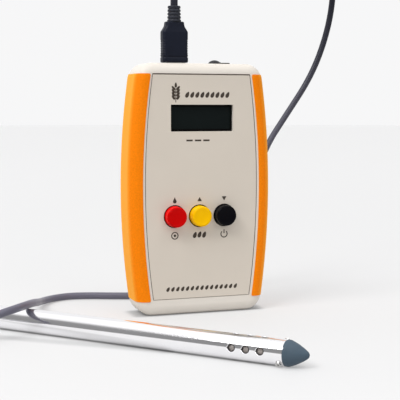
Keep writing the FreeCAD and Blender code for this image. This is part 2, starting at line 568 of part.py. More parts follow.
for nm in sorted(OUT):
    s = OUT[nm]
    bb = s.BoundBox
    print("%-22s solids %d vol %9.1f valid %s box x %.1f..%.1f y %.1f..%.1f z %.2f..%.2f" % (
        nm, len(s.Solids), s.Volume, s.isValid(), bb.XMin, bb.XMax, bb.YMin, bb.YMax, bb.ZMin, bb.ZMax))
    s.exportStep("parts/%s.step" % nm)
print(len(OUT), "nodes")
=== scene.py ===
import bpy, bmesh, math
from mathutils import Vector, Matrix, noise


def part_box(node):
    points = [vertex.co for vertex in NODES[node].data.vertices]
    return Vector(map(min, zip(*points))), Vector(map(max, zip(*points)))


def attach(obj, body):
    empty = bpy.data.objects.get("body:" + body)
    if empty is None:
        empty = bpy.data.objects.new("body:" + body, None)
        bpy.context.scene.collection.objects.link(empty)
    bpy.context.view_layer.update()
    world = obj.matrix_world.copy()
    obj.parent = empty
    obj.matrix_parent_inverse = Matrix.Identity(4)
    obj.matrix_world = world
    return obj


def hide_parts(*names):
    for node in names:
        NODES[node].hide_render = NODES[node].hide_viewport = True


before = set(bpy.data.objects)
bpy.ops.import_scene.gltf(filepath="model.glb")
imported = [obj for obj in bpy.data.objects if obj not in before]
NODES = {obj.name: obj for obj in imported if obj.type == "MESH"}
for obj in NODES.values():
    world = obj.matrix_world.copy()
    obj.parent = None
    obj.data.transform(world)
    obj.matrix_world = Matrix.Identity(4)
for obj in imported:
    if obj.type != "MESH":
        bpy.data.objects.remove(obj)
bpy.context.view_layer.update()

MM = 0.001
scene = bpy.context.scene
scene.view_settings.view_transform = "Standard"
scene.view_settings.look = "None"

# ------------------------------------------------------------------ camera
cam_data = bpy.data.cameras.new("camera")
cam = bpy.data.objects.new("camera", cam_data)
scene.collection.objects.link(cam)
cam_data.sensor_width = 36.0
cam_data.lens = 1045.0 / 400.0 * 36.0
cam_data.clip_start, cam_data.clip_end = 0.02, 20.0
cam_data.dof.use_dof = False
YAW, PITCH = math.radians(19.128), math.radians(5.0)
fwd = Vector((math.sin(YAW) * math.cos(PITCH), math.cos(YAW) * math.cos(PITCH), -math.sin(PITCH)))
cam.location = (-0.20069, -0.58755, 0.12073)
cam.rotation_mode = "QUATERNION"
cam.rotation_quaternion = fwd.to_track_quat("-Z", "Y")
scene.camera = cam


# --------------------------------------------------------------- materials
def pm(name, color, rough=0.5, metal=0.0, var=0.06, var_scale=60.0, rvar=0.06, r_scale=200.0,
       bump=0.0, bump_scale=900.0, bump_dist=0.00005, coat=0.0, coat_rough=0.1, spec=0.5,
       second=None, second_scale=14.0, stretch=None, turn=None, fine=None, sheen=0.0, sss=0.0, detail=3.0, painted_grazing_light=None, low_painted_light=None):
    m = bpy.data.materials.new(name)
    m.use_nodes = True
    nt = m.node_tree
    b = nt.nodes["Principled BSDF"]
    b.inputs["Metallic"].default_value = metal
    b.inputs["Specular IOR Level"].default_value = spec
    b.inputs["Coat Weight"].default_value = coat
    b.inputs["Coat Roughness"].default_value = coat_rough
    if sheen:
        b.inputs["Sheen Weight"].default_value = sheen
        b.inputs["Sheen Roughness"].default_value = 0.4
    if sss:
        b.inputs["Subsurface Weight"].default_value = sss
        b.inputs["Subsurface Scale"].default_value = 0.002
        b.inputs["Subsurface Radius"].default_value = (1.0, 0.5, 0.25)
    tc = nt.nodes.new("ShaderNodeTexCoord")
    vec = tc.outputs["Object"]
    if stretch or turn:
        mp = nt.nodes.new("ShaderNodeMapping")
        if turn:
            mp.inputs["Rotation"].default_value = turn
        nt.links.new(vec, mp.inputs["Vector"])
        vec2 = mp.outputs["Vector"]
        if stretch:
            mp2 = nt.nodes.new("ShaderNodeMapping")
            mp2.inputs["Scale"].default_value = stretch
            nt.links.new(vec2, mp2.inputs["Vector"])
            vec2 = mp2.outputs["Vector"]
    else:
        vec2 = vec

    def noise_node(scale, det=detail, src=None, rough_=0.55):
        n = nt.nodes.new("ShaderNodeTexNoise")
        n.inputs["Scale"].default_value = scale
        n.inputs["Detail"].default_value = det
        n.inputs["Roughness"].default_value = rough_
        nt.links.new(src or vec, n.inputs["Vector"])
        return n
    n1 = noise_node(var_scale)
    ramp = nt.nodes.new("ShaderNodeValToRGB")
    lo = [max(0.0, c * (1 - var)) for c in color[:3]] + [1]
    hi = [min(1.0, c * (1 + var)) for c in color[:3]] + [1]
    ramp.color_ramp.elements[0].position, ramp.color_ramp.elements[1].position = 0.3, 0.7
    ramp.color_ramp.elements[0].color, ramp.color_ramp.elements[1].color = lo, hi
    nt.links.new(n1.outputs["Fac"], ramp.inputs["Fac"])
    out = ramp.outputs["Color"]
    if second:
        n2 = noise_node(second_scale, 2.0)
        mr = nt.nodes.new("ShaderNodeMapRange")
        mr.inputs["From Min"].default_value, mr.inputs["From Max"].default_value = 0.42, 0.7
        mr.inputs["To Max"].default_value = second[3]
        nt.links.new(n2.outputs["Fac"], mr.inputs["Value"])
        mx = nt.nodes.new("ShaderNodeMix")
        mx.data_type = "RGBA"
        nt.links.new(mr.outputs["Result"], mx.inputs["Factor"])
        nt.links.new(out, mx.inputs[6])
        mx.inputs[7].default_value = (*second[:3], 1)
        out = mx.outputs[2]
    if low_painted_light:
        # painted light: the cord is lighter where it lies near the ground, standing in for the light from above: (r, g,
        # b, z_full, z_none)
        sz = nt.nodes.new("ShaderNodeSeparateXYZ")
        nt.links.new(tc.outputs["Object"], sz.inputs[0])
        ml = nt.nodes.new("ShaderNodeMapRange")
        ml.interpolation_type = "SMOOTHSTEP"
        ml.inputs["From Min"].default_value, ml.inputs["From Max"].default_value = low_painted_light[3], low_painted_light[4]
        ml.inputs["To Min"].default_value, ml.inputs["To Max"].default_value = 1.0, 0.0
        nt.links.new(sz.outputs["Z"], ml.inputs["Value"])
        mxl = nt.nodes.new("ShaderNodeMix")
        mxl.data_type = "RGBA"
        nt.links.new(ml.outputs["Result"], mxl.inputs["Factor"])
        nt.links.new(out, mxl.inputs[6])
        mxl.inputs[7].default_value = (*low_painted_light[:3], 1)
        out = mxl.outputs[2]
    # painted light: grazing faces are mixed toward a lighter tint, standing in for side light on walls and rims
    if painted_grazing_light:
        lw = nt.nodes.new("ShaderNodeLayerWeight")
        lw.inputs["Blend"].default_value = 0.5
        me_ = nt.nodes.new("ShaderNodeMapRange")
        me_.inputs["From Min"].default_value, me_.inputs["From Max"].default_value = 0.25, 0.95
        me_.inputs["To Max"].default_value = painted_grazing_light[3]
        nt.links.new(lw.outputs["Facing"], me_.inputs["Value"])
        mxe = nt.nodes.new("ShaderNodeMix")
        mxe.data_type = "RGBA"
        nt.links.new(me_.outputs["Result"], mxe.inputs["Factor"])
        nt.links.new(out, mxe.inputs[6])
        mxe.inputs[7].default_value = (*painted_grazing_light[:3], 1)
        out = mxe.outputs[2]
    nt.links.new(out, b.inputs["Base Color"])
    n3 = noise_node(r_scale, 4.0, vec2)
    mr2 = nt.nodes.new("ShaderNodeMapRange")
    mr2.inputs["From Min"].default_value, mr2.inputs["From Max"].default_value = 0.3, 0.7
    mr2.inputs["To Min"].default_value = max(0.02, rough - rvar)
    mr2.inputs["To Max"].default_value = min(1.0, rough + rvar)
    nt.links.new(n3.outputs["Fac"], mr2.inputs["Value"])
    nt.links.new(mr2.outputs["Result"], b.inputs["Roughness"])
    if bump:
        n4 = noise_node(bump_scale, 3.0, vec2, 0.6)
        bp = nt.nodes.new("ShaderNodeBump")
        bp.inputs["Strength"].default_value = bump
        bp.inputs["Distance"].default_value = bump_dist
        nt.links.new(n4.outputs["Fac"], bp.inputs["Height"])
        last = bp
        if fine:
            n5 = nt.nodes.new("ShaderNodeTexVoronoi")
            n5.inputs["Scale"].default_value = fine[0]
            nt.links.new(vec, n5.inputs["Vector"])
            bp2 = nt.nodes.new("ShaderNodeBump")
            bp2.inputs["Strength"].default_value = fine[1]
            bp2.inputs["Distance"].default_value = fine[2]
            nt.links.new(n5.outputs["Distance"], bp2.inputs["Height"])
            nt.links.new(bp.outputs["Normal"], bp2.inputs["Normal"])
            last = bp2
        nt.links.new(last.outputs["Normal"], b.inputs["Normal"])
    return m


M = {}
M["case"] = pm("case_plastic", (0.735, 0.685, 0.62), 0.48, var=0.015, var_scale=35, rvar=0.05, bump=0.22,
               bump_scale=2600, bump_dist=0.00004, spec=0.25)
# the grip's lighter yellow-orange outer rim is painted light from the left
M["grip"] = pm("grip_rubber", (0.91, 0.222, 0.0), 0.60, var=0.08, var_scale=1100, rvar=0.07, r_scale=900, bump=0.45,
               bump_scale=1700, bump_dist=0.00008, spec=0.10, fine=(1700.0, 0.3, 0.00005), painted_grazing_light=(1.0, 0.46, 0.035, 0.95))
M["label"] = pm("label_film", (0.665, 0.60, 0.52), 0.55, var=0.012, var_scale=50, rvar=0.04, bump=0.12,
                bump_scale=3200, bump_dist=0.00002, spec=0.2)
M["print"] = pm("label_print", (0.060, 0.046, 0.036), 0.55, var=0.12, var_scale=500, spec=0.2)
M["painted_edge_shadow"] = pm("label_edge_shadow", (0.14, 0.115, 0.095), 0.8, var=0.2, var_scale=400, spec=0.05)
M["black_metal"] = pm("black_lacquer", (0.010, 0.011, 0.013), 0.38, var=0.2, var_scale=200, bump=0.08, bump_scale=1500, spec=0.2)
M["glass"] = pm("display_glass", (0.006, 0.009, 0.009), 0.09, var=0.10, var_scale=40, rvar=0.02, spec=0.12)
M["mask"] = pm("display_mask", (0.001, 0.001, 0.001), 0.3, var=0.2, var_scale=100, spec=0.08)
M["pcb"] = pm("board", (0.02, 0.13, 0.05), 0.38, var=0.3, var_scale=420, bump=0.2, bump_scale=1200, coat=0.4)
M["black"] = pm("black_plastic", (0.010, 0.010, 0.012), 0.46, var=0.15, var_scale=120, bump=0.18, bump_scale=2400, bump_dist=0.00003, spec=0.2)
# the caps' lighter side walls are painted light
M["red"] = pm("red_plastic", (0.56, 0.0002, 0.0002), 0.34, var=0.04, var_scale=90, rvar=0.05, bump=0.05, bump_scale=900, spec=0.06,
              painted_grazing_light=(1.0, 0.001, 0.001, 1.0))
M["yellow"] = pm("yellow_plastic", (0.92, 0.50, 0.0), 0.34, var=0.03, var_scale=90, rvar=0.05, bump=0.05, bump_scale=900, spec=0.06,
                 painted_grazing_light=(1.0, 0.62, 0.0, 0.6))
M["blackgloss"] = pm("black_gloss", (0.0022, 0.002, 0.0035), 0.30, var=0.15, var_scale=90, rvar=0.05, bump=0.05, bump_scale=900, spec=0.06)
M["plated"] = pm("plated_steel", (0.66, 0.65, 0.62), 0.24, metal=1.0, var=0.06, var_scale=300, rvar=0.07, bump=0.05, bump_scale=900)
M["stainless"] = pm("stainless", (0.95, 0.945, 0.96), 0.135, metal=1.0, var=0.02, var_scale=18, rvar=0.03, r_scale=60,
                    bump=0.05, bump_scale=60, bump_dist=0.00002, turn=(0, 0, math.radians(48.7)), stretch=(0.6, 30.0, 30.0))
M["screw"] = pm("screw_steel", (0.62, 0.61, 0.60), 0.20, metal=1.0, var=0.08, var_scale=500, rvar=0.08, bump=0.1, bump_scale=1800)
M["brass"] = pm("contact_brass", (0.75, 0.52, 0.2), 0.28, metal=1.0, var=0.08, var_scale=500)
M["slate"] = pm("slate_plastic", (0.058, 0.088, 0.118), 0.50, var=0.08, var_scale=160, rvar=0.06, bump=0.25, bump_scale=1800, bump_dist=0.00005,
                second=(0.078, 0.11, 0.14, 0.35), second_scale=90, spec=0.2)
M["ic"] = pm("chip_package", (0.02, 0.02, 0.021), 0.6, var=0.15, var_scale=600, bump=0.25, bump_scale=3000)
M["battery"] = pm("battery_can", (0.03, 0.033, 0.04), 0.32, metal=0.6, var=0.15, var_scale=60, rvar=0.08, bump=0.05)
M["foam"] = pm("foam", (0.04, 0.04, 0.042), 0.9, var=0.4, var_scale=900, bump=0.8, bump_scale=1400, bump_dist=0.0002)
M["oring"] = pm("oring_rubber", (0.012, 0.012, 0.012), 0.45, var=0.2, var_scale=200)
# its low tint paints the lying cord lighter, standing in for the light it gets from above
M["cord"] = pm("cord_jacket", (0.011, 0.0115, 0.021), 0.42, var=0.12, var_scale=70, rvar=0.06, r_scale=300, bump=0.16, bump_scale=1300,
               bump_dist=0.00005, spec=0.35, low_painted_light=(0.128, 0.125, 0.165, 0.006, 0.20))
M["relief"] = pm("relief_rubber", (0.020, 0.022, 0.032), 0.48, var=0.12, var_scale=110, rvar=0.06, bump=0.3, bump_scale=1900,
                 bump_dist=0.00005, spec=0.3)
M["plug"] = pm("plug_overmould", (0.0045, 0.0068, 0.017), 0.50, var=0.12, var_scale=110, rvar=0.06, bump=0.35, bump_scale=1900,
               bump_dist=0.00005, spec=0.2)
# near-black colour for the key hole sleeves: painted shade
M["sleeve"] = pm("key_hole_shade", (0.004, 0.004, 0.005), 0.7, var=0.2, var_scale=300, spec=0.03)
# near-black colour for the vent hole rings: painted shade
M["vent_hole_shade"] = pm("vent_hole_shade", (0.030, 0.027, 0.026), 0.5, var=0.25, var_scale=700, rvar=0.08, bump=0.1, bump_scale=2500, spec=0.25)
M["wire_red"] = pm("wire_red", (0.5, 0.01, 0.01), 0.4, var=0.08, var_scale=300)
M["wire_black"] = pm("wire_black", (0.015, 0.015, 0.017), 0.4, var=0.15, var_scale=300)


def mesh_steel():
    m = bpy.data.materials.new("filter_mesh")
    m.use_nodes = True
    nt = m.node_tree
    b = nt.nodes["Principled BSDF"]
    b.inputs["Metallic"].default_value = 0.85
    b.inputs["Roughness"].default_value = 0.42
    tc = nt.nodes.new("ShaderNodeTexCoord")
    mp = nt.nodes.new("ShaderNodeMapping")
    mp.inputs["Rotation"].default_value = (0, 0, math.radians(48.7))
    nt.links.new(tc.outputs["Object"], mp.inputs["Vector"])
    hs = []
    for d in ("X", "Z"):
        w = nt.nodes.new("ShaderNodeTexWave")
        w.bands_direction = d
        w.inputs["Scale"].default_value = 480.0
        w.inputs["Distortion"].default_value = 0.2
        nt.links.new(mp.outputs["Vector"], w.inputs["Vector"])
        hs.append(w)
    mx = nt.nodes.new("ShaderNodeMath")
    mx.operation = "MAXIMUM"
    nt.links.new(hs[0].outputs["Fac"], mx.inputs[0])
    nt.links.new(hs[1].outputs["Fac"], mx.inputs[1])
    rp = nt.nodes.new("ShaderNodeValToRGB")
    rp.color_ramp.elements[0].position, rp.color_ramp.elements[1].position = 0.35, 0.85
    rp.color_ramp.elements[0].color = (0.05, 0.045, 0.042, 1)
    rp.color_ramp.elements[1].color = (0.56, 0.51, 0.48, 1)
    nt.links.new(mx.outputs["Value"], rp.inputs["Fac"])
    nt.links.new(rp.outputs["Color"], b.inputs["Base Color"])
    bp = nt.nodes.new("ShaderNodeBump")
    bp.inputs["Strength"].default_value = 0.7
    bp.inputs["Distance"].default_value = 0.0001
    nt.links.new(mx.outputs["Value"], bp.inputs["Height"])
    nt.links.new(bp.outputs["Normal"], b.inputs["Normal"])
    return m


M["mesh"] = mesh_steel()

NODE_MAT = {
    "front_shell": "case", "rear_shell": "case", "battery_door": "case", "grip_left": "grip", "grip_right": "grip",
    "front_label": "label", "lcd_bezel": "black_metal", "lcd_glass": "glass", "lcd_board": "pcb", "lcd_header": "black",
    "main_board": "pcb", "switch_bodies": "black", "mcu_chip": "ic", "voltage_regulator": "ic", "capacitors": "black",
    "crystal": "plated", "red_button": "red", "yellow_button": "yellow", "black_button": "blackgloss",
    "red_switch_stem": "black", "yellow_switch_stem": "black", "black_switch_stem": "black",
    "usb_socket_shell": "plated", "usb_socket_tongue": "black", "rocker_frame": "black", "rocker_paddle": "black",
    "rocker_terminals": "brass", "switch_lead": "wire_black", "battery": "battery", "battery_snap": "black",
    "battery_pad": "foam", "battery_lead_red": "wire_red", "battery_lead_black": "wire_black", "case_screws": "screw",
    "board_screws": "screw", "probe_tube": "stainless", "probe_nose": "slate", "nose_screws": "screw",
    "nose_oring": "oring", "filter_sleeve": "mesh", "sensor_board": "pcb", "sensor_chip": "ic", "probe_end_cap": "black",
    "end_cap_screw": "screw", "probe_strain_relief": "plug", "probe_inner_cable": "cord", "cord": "cord",
    "plug_overmold": "plug", "plug_strain_relief": "plug", "plug_shell": "plated", "plug_tongue": "black",
}
for n, o in NODES.items():
    o.data.materials.clear()
    o.data.materials.append(M[NODE_MAT.get(n, "black")])


# ---------------------------------------------------------------- helpers
def new_obj(name, mesh, mat, body="case", smooth=True):
    o = bpy.data.objects.new(name, mesh)
    scene.collection.objects.link(o)
    if mat is not None:
        mesh.materials.append(M[mat])
    if smooth:
        for p in mesh.polygons:
            p.use_smooth = True
    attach(o, body)
    return o


def bm_obj(name, bm, mat, body="case", smooth=True, angle=None):
    bmesh.ops.recalc_face_normals(bm, faces=bm.faces)
    me = bpy.data.meshes.new(name)
    bm.to_mesh(me)
    bm.free()
    if angle is not None:
        for p in me.polygons:
            p.use_smooth = True
        me.set_sharp_from_angle(angle=math.radians(angle))
    return new_obj(name, me, mat, body, smooth and angle is None or angle is not None)


def rings_to_bm(rings, close_ends=True):
    bm = bmesh.new()
    vs = [[bm.verts.new(p) for p in r] for r in rings]
    n = len(vs[0])
    for a, b in zip(vs, vs[1:]):
        for i in range(n):
            j = (i + 1) % n
            bm.faces.new((a[i], a[j], b[j], b[i]))
    if close_ends:
        bm.faces.new(vs[0])
        bm.faces.new(list(reversed(vs[-1])))
    return bm


def lathe(profile, centre, axis, up, n=96):
    # profile: (along, radius) pairs in mm, first and last may be on the axis
    c, ax = Vector(centre) * MM, Vector(axis).normalized()
    u = Vector(up).normalized()
    w = ax.cross(u)
    bm = bmesh.new()
    prev = None
    for s, r in profile:
        if r < 1e-6:
            cur = [bm.verts.new(c + ax * s * MM)]
        else:
            cur = [bm.verts.new(c + ax * s * MM + (u * math.cos(t) + w * math.sin(t)) * r * MM)
                   for t in (2 * math.pi * i / n for i in range(n))]
        if prev is not None:
            if len(prev) == 1 and len(cur) > 1:
                for i in range(n):
                    bm.faces.new((prev[0], cur[i], cur[(i + 1) % n]))
            elif len(cur) == 1 and len(prev) > 1:
                for i in range(n):
                    bm.faces.new((prev[i], prev[(i + 1) % n], cur[0]))
            else:
                for i in range(n):
                    j = (i + 1) % n
                    bm.faces.new((prev[i], prev[j], cur[j], cur[i]))
        prev = cur
    return bm


# ------------------------------------------------------------------- cord
CT, ST = math.cos(math.radians(48.7)), math.sin(math.radians(48.7))


def on_axis(s):
    return (3.70 - CT * s, -153.43 + ST * s)


e0, e1 = on_axis(362.0), on_axis(378.0)
ROUTE = [
    (e0[0], e0[1], 6.35), (e1[0], e1[1], 6.35),
    (-263.0, 141.5, 3.4), (-286.0, 143.0, 2.25), (-304.0, 129.0, 2.25), (-309.0, 105.0, 2.25),
    (-299.0, 80.0, 2.25), (-281.0, 58.0, 2.25), (-258.0, 34.0, 2.25), (-233.0, 9.0, 2.25),
    (-207.0, -12.0, 2.25), (-181.0, -29.0, 2.25), (-158.0, -42.0, 4.2), (-141.0, -48.0, 9.4),
    (-127.0, -48.5, 13.6), (-116.0, -43.5, 15.5), (-106.5, -32.5, 15.6), (-100.0, -17.0, 13.6),
    (-94.5, 3.0, 9.9), (-90.5, 23.0, 6.2), (-85.5, 41.0, 3.2), (-77.0, 53.5, 2.25),
    (-64.5, 59.0, 2.25), (-51.0, 56.0, 2.25), (-38.0, 50.5, 2.25), (-24.0, 45.5, 2.25), (-8.0, 42.0, 2.25),
    (12.0, 43.0, 2.25), (34.0, 52.0, 5.5), (52.0, 66.0, 25.0), (66.5, 79.0, 58.0), (81.5, 90.0, 92.0),
    (102.5, 97.0, 117.5), (119.5, 98.0, 141.0), (130.0, 97.0, 165.0), (136.0, 95.0, 192.0),
    (134.5, 90.0, 221.0), (116.0, 77.0, 247.0), (85.0, 57.0, 260.0), (50.0, 36.0, 260.0),
    (18.0, 16.0, 248.0), (-6.0, 3.0, 229.0), (-12.9, 0.0, 204.8), (-12.9, 0.0, 180.3)]
cu = bpy.data.curves.new("cord_line", "CURVE")
cu.dimensions = "3D"
sp = cu.splines.new("NURBS")
sp.points.add(len(ROUTE) - 1)
for p, q in zip(sp.points, ROUTE):
    p.co = (q[0] * MM, q[1] * MM, q[2] * MM, 1.0)
sp.order_u = 3
sp.use_endpoint_u = True
sp.resolution_u = 10
cu.resolution_u = 10
cu.bevel_depth = 0.00215
cu.bevel_resolution = 6
cu.use_fill_caps = True
cord = bpy.data.objects.new("cord_line", cu)
scene.collection.objects.link(cord)
cu.materials.append(M["cord"])
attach(cord, "case")
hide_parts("cord")


# ------------------------------------------------------ plug and its relief
PX = -12.9


def rrect(hw, hd, r, n=8):
    pts = []
    for cx, cy, a0 in ((hw - r, hd - r, 0), (-hw + r, hd - r, 90), (-hw + r, -hd + r, 180), (hw - r, -hd + r, 270)):
        for i in range(n + 1):
            a = math.radians(a0 + 90 * i / n)
            pts.append((cx + r * math.cos(a), cy + r * math.sin(a)))
    return pts


levels = [(147.52, 7.05, 3.35, 1.9), (147.6, 7.35, 3.65, 2.0), (147.95, 7.58, 3.88, 2.1), (148.6, 7.62, 3.92, 2.1), (150.2, 7.62, 3.92, 2.1),
          (150.45, 7.5, 3.82, 2.1), (150.6, 7.28, 3.6, 2.0), (150.85, 7.28, 3.6, 2.0), (151.0, 7.45, 3.78, 2.1), (151.3, 7.55, 3.86, 2.1)]
z = 151.3
while z < 164.9:
    z += 0.2
    levels.append((round(z, 3), 7.55, 3.86, 2.1))
levels += [(165.3, 7.5, 3.84, 2.1), (165.7, 7.38, 3.8, 2.1), (166.5, 6.95, 3.74, 2.1), (167.4, 6.42, 3.68, 2.1), (168.2, 6.0, 3.64, 2.1),
           (168.8, 5.78, 3.6, 2.1), (169.8, 5.6, 3.56, 2.1), (170.7, 5.5, 3.52, 2.1), (171.0, 5.35, 3.4, 2.0), (171.18, 5.0, 3.1, 1.8)]
rings = []
for (z, hw, hd, r) in levels:
    ring = []
    for (x, y) in rrect(hw, hd, r):
        # grip ridges run round both narrow sides
        side = max(0.0, min(1.0, (abs(x) - (hw - 2.0)) / 1.4))
        if 152.2 < z < 160.6:
            ph = (z - 152.2) / 1.4
            f = 0.5 - 0.5 * math.cos(2 * math.pi * ph)
            x -= math.copysign(0.32 * (1 - f) * side, x) if 0.0 < ph < 6.0 else 0.0
        # thumb dish in the broad faces
        face = max(0.0, min(1.0, (abs(y) - (hd - 0.9)) / 0.9))
        if 152.5 < z < 164.5:
            g = math.sin(math.pi * (z - 152.5) / 12.0)
            k = max(0.0, 1 - (abs(x) / 5.4) ** 4)
            y -= math.copysign(0.22 * g * k * face, y)
        x *= 1.0 + 0.03 * max(0.0, min(1.0, (168.0 - z) / 3.0))
        ring.append(((PX + x) * MM, y * MM, z * MM))
    rings.append(ring)
plug = bm_obj("plug_body", rings_to_bm(rings), "plug", angle=40)
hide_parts("plug_overmold")

prof = [(0.0, 0.0), (0.0, 3.95), (0.25, 4.08), (0.9, 4.08), (1.1, 3.95)]
s0, n_g = 1.1, 4
for k in range(n_g):
    a = 1.1 + k * 1.95
    r = 4.02 - 0.07 * k
    prof += [(a + 0.10, r - 0.1), (a + 0.22, r - 0.42), (a + 0.55, r - 0.5), (a + 0.75, r - 0.42), (a + 0.87, r - 0.1), (a + 1.0, r), (a + 1.8, r - 0.08)]
prof += [(8.95, 3.7), (9.12, 3.5), (9.15, 2.2), (9.15, 0.0)]
relief = bm_obj("plug_relief", lathe(prof, (PX, 0, 171.15), (0, 0, 1), (1, 0, 0), 72), "relief", angle=50)
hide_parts("plug_strain_relief")

# ------------------------------------- painted shade: dark rings laid in the lips of the probe's vent holes
PRT = 6.35
vb = bmesh.new()


def probe_pt(lx, ang, r):
    ly, lz = math.cos(ang) * r, math.sin(ang) * r
    return ((3.70 + lx * CT - ly * ST) * MM, (-153.43 - lx * ST - ly * CT) * MM, (PRT - lz) * MM)


for s_ in (22.9, 30.5, 38.1):
    for k in range(4):
        a_ = math.radians(-6.5 + 90 * k)
        loops = []
        for rho, r in ((2.05, PRT - 0.22), (1.86, PRT - 0.24), (1.58, PRT - 0.34), (1.55, PRT - 0.62), (1.92, PRT - 0.62), (1.92, PRT - 0.36)):
            loops.append([vb.verts.new(probe_pt(-s_ + rho * math.cos(t), a_ + rho * math.sin(t) / r, r))
                          for t in (2 * math.pi * i / 40 for i in range(40))])
        for q in range(6):
            la, lb = loops[q], loops[(q + 1) % 6]
            for i in range(40):
                j = (i + 1) % 40
                vb.faces.new((la[i], la[j], lb[j], lb[i]))
bm_obj("vent_hole_shade_rings", vb, "vent_hole_shade", angle=45)

# ------------------------------------------------------------ push buttons
BX = [-1.4 - 15.25, -1.4, -1.4 + 15.25]
BZ = 58.2
for nm, x, mt, sl in (("red", BX[0], "red", "red_plastic"), ("yellow", BX[1], "yellow", "yellow_plastic"),
                      ("black", BX[2], "blackgloss", "black_gloss")):
    top = 17.7
    prof = [(8.62, 0.0), (8.62, 6.3), (8.72, 6.42), (9.5, 6.42), (9.6, 6.34), (9.62, 6.12), (9.8, 6.08), (12.0, 6.06), (14.0, 6.03),
            (16.2, 6.0), (16.7, 5.97)]
    for i in range(1, 9):
        a = math.pi / 2 * i / 8
        prof.append((16.7 + 0.98 * math.sin(a), 4.99 + 0.98 * math.cos(a)))
    prof += [(top - 0.03, 4.8), (top - 0.07, 4.6), (top - 0.14, 4.2), (top - 0.22, 3.4), (top - 0.28, 2.3), (top - 0.31, 1.1), (top - 0.32, 0.0)]
    cap = bm_obj(nm + "_cap", lathe([(-s, r) for s, r in prof], (x, 0, BZ), (0, 1, 0), (0, 0, 1), 96), mt, body=nm + "_key", angle=50)
    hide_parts(nm + "_button")


# painted shade: dark sleeves lining the key holes, standing in for the shadow in the gap round each cap
for nm, x in (("red", BX[0]), ("yellow", BX[1]), ("black", BX[2])):
    pr_ = [(9.95, 6.62), (9.95, 6.3), (12.0, 6.26), (12.2, 6.3), (12.28, 6.4), (12.3, 6.66), (12.3, 6.68), (12.1, 6.69), (9.95, 6.69)]
    sb = bmesh.new()
    nseg = 96
    rings_ = []
    for i in range(nseg):
        t_ = 2 * math.pi * i / nseg
        rings_.append([sb.verts.new(((x + r_ * math.cos(t_)) * MM, -s_ * MM, (BZ + r_ * math.sin(t_)) * MM)) for s_, r_ in pr_])
    for i in range(nseg):
        a_, b_ = rings_[i], rings_[(i + 1) % nseg]
        for k in range(len(pr_)):
            j = (k + 1) % len(pr_)
            sb.faces.new((a_[k], a_[j], b_[j], b_[k]))
    bm_obj(nm + "_key_hole_shade", sb, "sleeve", angle=40)


# ----------------------------------------------------------- label marks
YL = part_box("front_label")[0].y / MM


class Marks:
    def __init__(self):
        self.bm = bmesh.new()

    def poly(self, pts, y=None, t=0.03):
        y = YL if y is None else y
        a = [self.bm.verts.new((x * MM, (y - t) * MM, z * MM)) for x, z in pts]
        b = [self.bm.verts.new((x * MM, (y + 0.01) * MM, z * MM)) for x, z in pts]
        self.bm.faces.new(a)
        self.bm.faces.new(list(reversed(b)))
        n = len(pts)
        for i in range(n):
            j = (i + 1) % n
            self.bm.faces.new((a[i], b[i], b[j], a[j]))

    def rect(self, x, z, w, h, rot=0.0):
        c, s = math.cos(rot), math.sin(rot)
        self.poly([(x + c * u - s * v, z + s * u + c * v) for u, v in ((-w / 2, -h / 2), (w / 2, -h / 2), (w / 2, h / 2), (-w / 2, h / 2))])

    def ell(self, x, z, a, b, rot=0.0, n=20):
        c, s = math.cos(rot), math.sin(rot)
        self.poly([(x + c * a * math.cos(t) - s * b * math.sin(t), z + s * a * math.cos(t) + c * b * math.sin(t))
                   for t in (2 * math.pi * i / n for i in range(n))])

    def seed(self, x, z, a, b, rot):
        # a grain kernel: pointed at one end
        c, s = math.cos(rot), math.sin(rot)
        pts = []
        for i in range(22):
            t = 2 * math.pi * i / 22
            u, v = a * math.cos(t), b * math.sin(t) * (1 - 0.28 * math.cos(t))
            pts.append((x + c * u - s * v, z + s * u + c * v))
        self.poly(pts)

    def arc(self, x, z, r, w, a0, a1, n=28):
        p = []
        for i in range(n + 1):
            t = math.radians(a0 + (a1 - a0) * i / n)
            p.append((math.cos(t), math.sin(t)))
        for (c0, s0), (c1, s1) in zip(p, p[1:]):
            self.poly([(x + (r - w / 2) * c0, z + (r - w / 2) * s0), (x + (r + w / 2) * c0, z + (r + w / 2) * s0),
                       (x + (r + w / 2) * c1, z + (r + w / 2) * s1), (x + (r - w / 2) * c1, z + (r - w / 2) * s1)])

    def drop(self, x, z, r):
        pts = []
        for i in range(25):
            t = math.radians(-210 + 240 * i / 24)
            pts.append((x + r * math.cos(t), z + r * math.sin(t)))
        pts.append((x, z + 2.3 * r))
        self.poly(pts)


mk = Marks()
# emblem: an ear of grain, with a plain row of kernels beside it
ex, ez = -15.9, 129.3
for k in range(4):
    zz = ez - 2.7 + k * 1.8
    mk.seed(ex - 1.45, zz + 0.5, 1.5, 0.74, math.radians(130))
    mk.seed(ex + 1.45, zz + 0.5, 1.5, 0.74, math.radians(50))
mk.seed(ex, ez + 4.9, 1.5, 0.72, math.radians(90))
mk.rect(ex, ez - 1.0, 0.45, 8.0)
for k in range(9):
    mk.seed(-8.9 + k * 3.1, 128.7, 1.85, 1.02, math.radians(62))
# below the display: three short bars
for k in range(3):
    mk.rect(-2.4 - 5.2 + k * 5.2, 102.3, 3.9, 1.0)
# over the keys
mk.drop(BX[0], 67.0, 1.1)
zz = 68.0
mk.poly([(BX[1] - 1.45, zz - 1.25), (BX[1] + 1.45, zz - 1.25), (BX[1], zz + 1.25)])
mk.poly([(BX[2] - 1.45, zz + 1.25), (BX[2], zz - 1.25), (BX[2] + 1.45, zz + 1.25)])
